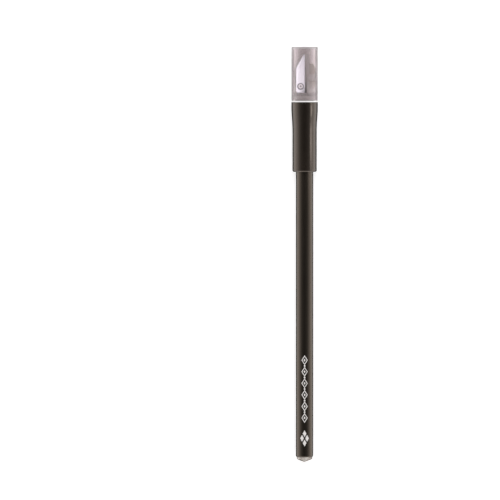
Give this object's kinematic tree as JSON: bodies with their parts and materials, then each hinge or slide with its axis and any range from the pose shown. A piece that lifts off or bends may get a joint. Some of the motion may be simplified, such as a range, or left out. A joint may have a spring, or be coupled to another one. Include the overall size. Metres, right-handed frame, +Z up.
{
  "type": "eyeliner pencil",
  "caption": "Capped cosmetic pencil with a wooden casing and soft core, a faceted stone on its butt, and a sharpener under a clear cover in the cap.",
  "frame": {"origin": "on the floor, under the middle of the part's box as it lies at rest", "axes": "+Y along the pencil from its stone to its cap, +Z up, the sharpener's blade facing up, +X to the right seen from above with the cap at the top"},
  "size_m": [0.0114, 0.1796, 0.0117],
  "materials": {
    "wood": "bare cedar",
    "pigment": "waxy",
    "lacquer": "satin",
    "stone": "faceted",
    "sleeve_plastic": "satin",
    "insert_plastic": "moulded",
    "blade_steel": "ground",
    "screw_steel": "plated",
    "clear_plastic": "clear, slightly smoky"
  },
  "bodies": {
    "pencil": {"casing_front": "wood", "casing_back": "wood", "lead": "pigment", "lacquer_coat": "lacquer", "end_gem": "stone"},
    "sleeve": {"cap_sleeve": "sleeve_plastic"},
    "sharpener": {"sharpener_body": "insert_plastic", "sharpener_blade": "blade_steel", "blade_screw": "screw_steel"},
    "cover": {"dust_cover": "clear_plastic"}
  },
  "joints": [
    {"name": "cap_pull", "type": "slide", "parent": "pencil", "child": "sleeve", "axis": [0, 0.9999, 0.0128], "range_m": [0, 0.03]},
    {"name": "sharpener_pull", "type": "slide", "parent": "sleeve", "child": "sharpener", "axis": [0, 0.9999, 0.0128], "range_m": [0, 0.01]},
    {"name": "cover_pull", "type": "slide", "parent": "sharpener", "child": "cover", "axis": [0, 0.9999, 0.0128], "range_m": [0, 0.025]}
  ]
}
